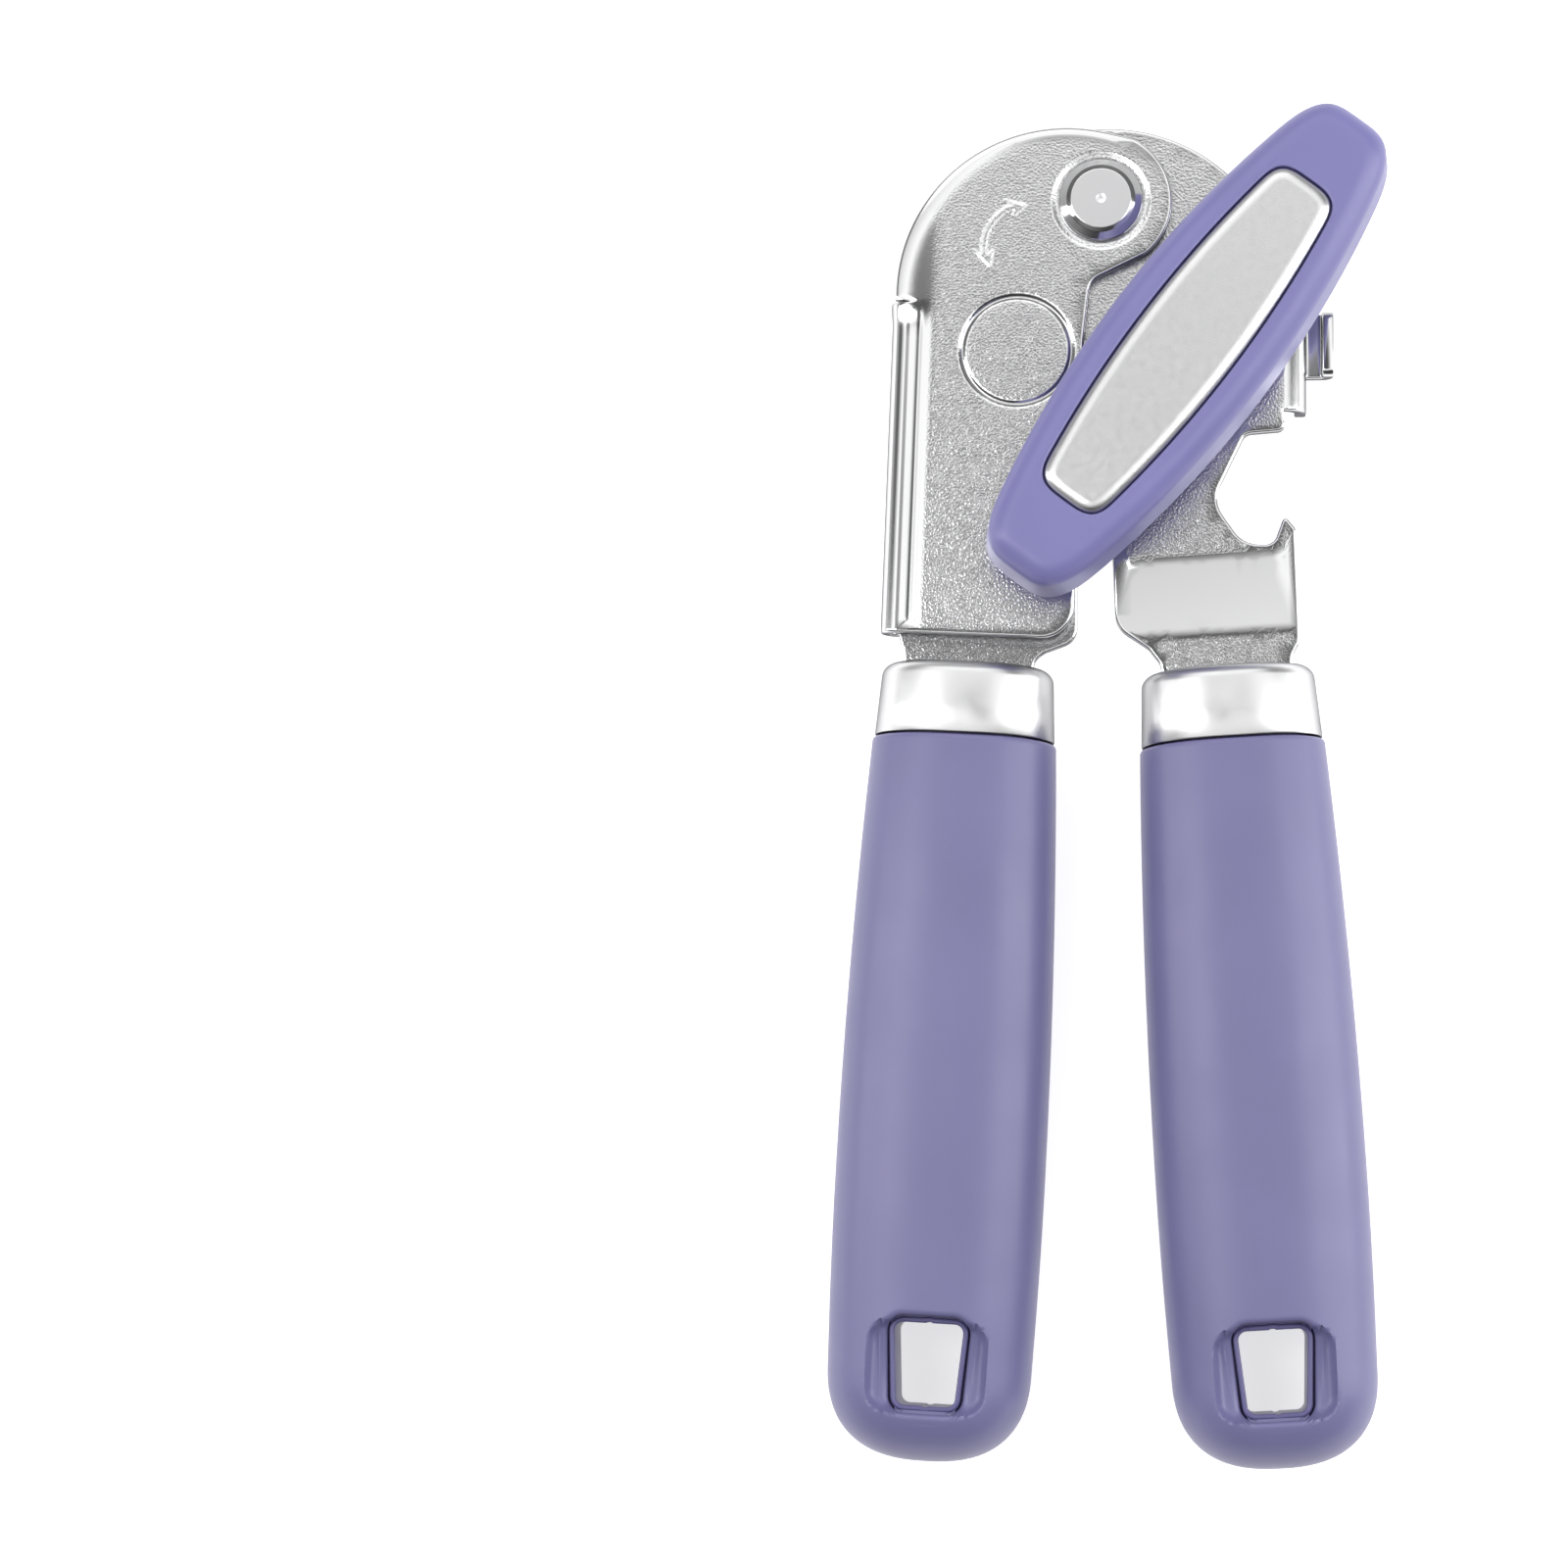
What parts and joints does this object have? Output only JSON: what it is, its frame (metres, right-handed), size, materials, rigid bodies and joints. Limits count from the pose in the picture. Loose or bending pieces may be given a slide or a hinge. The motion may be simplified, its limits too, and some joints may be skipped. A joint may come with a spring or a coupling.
{
  "type": "manual can opener",
  "caption": "Hand can opener with two long soft grips, a turning knob, a feed wheel, a round cutter, a bottle-cap hook and a hanging hole in each grip.",
  "frame": {"origin": "middle of the base of the opener's box as it lies on its back, on the level that the grips rest on", "axes": "+Y towards the head, +Z out of the front towards the knob, +X towards the bottle-opener side"},
  "size_m": [0.0848, 0.2058, 0.031],
  "materials": {
    "pebbled_nickel": "bright nickel plate with a fine pebbled face and polished edges",
    "polished_steel": "polished",
    "satin_steel": "satin",
    "satin_silver": "bead-blasted silver with a bright rim",
    "hardened_steel": "ground hardened steel",
    "bronze": "sintered bearing bronze",
    "soft_lavender": "soft-touch matte moulding",
    "hard_lavender": "hard moulded plastic, fine matte"
  },
  "bodies": {
    "left_arm": {"left_arm_plate": "pebbled_nickel", "pivot_rivet": "polished_steel", "pivot_washer": "satin_steel", "left_ferrule": "satin_steel", "left_handle_core": "hard_lavender", "left_grip": "soft_lavender", "left_tang_pin": "satin_steel", "cutter_stud": "satin_steel"},
    "right_arm": {"right_arm_plate": "pebbled_nickel", "right_ferrule": "satin_steel", "right_handle_core": "hard_lavender", "right_grip": "soft_lavender", "right_tang_pin": "satin_steel", "shaft_bushing": "bronze"},
    "drive": {"drive_shaft": "satin_steel", "thrust_washer": "satin_steel", "drive_spacer": "satin_steel", "drive_gear": "hardened_steel", "feed_wheel": "hardened_steel", "feed_nut": "polished_steel", "knob_hub": "hard_lavender", "knob_grip": "soft_lavender", "knob_inlay": "satin_silver", "knob_screw": "satin_steel"},
    "cutter": {"cutter_gear": "hardened_steel", "cutter_spacer": "satin_steel", "cutter_wheel": "hardened_steel", "cutter_washer": "satin_steel"}
  },
  "joints": [
    {"name": "arm_pivot", "type": "hinge", "parent": "left_arm", "child": "right_arm", "pos_m": [-0.00137, 0.09072, 0.011], "axis": [0, 0, 1], "range_deg": [0, 55]},
    {"name": "knob_spin", "type": "hinge", "parent": "right_arm", "child": "drive", "pos_m": [0.01186, 0.06539, 0.011], "axis": [0, 0, -1], "continuous": true},
    {"name": "cutter_spin", "type": "hinge", "parent": "left_arm", "child": "cutter", "pos_m": [-0.00487, 0.06235, 0.011], "axis": [0, 0, -1], "continuous": true}
  ],
  "couplings": [
    {"joint": "cutter_spin", "follows": "knob_spin", "ratio": -1}
  ]
}
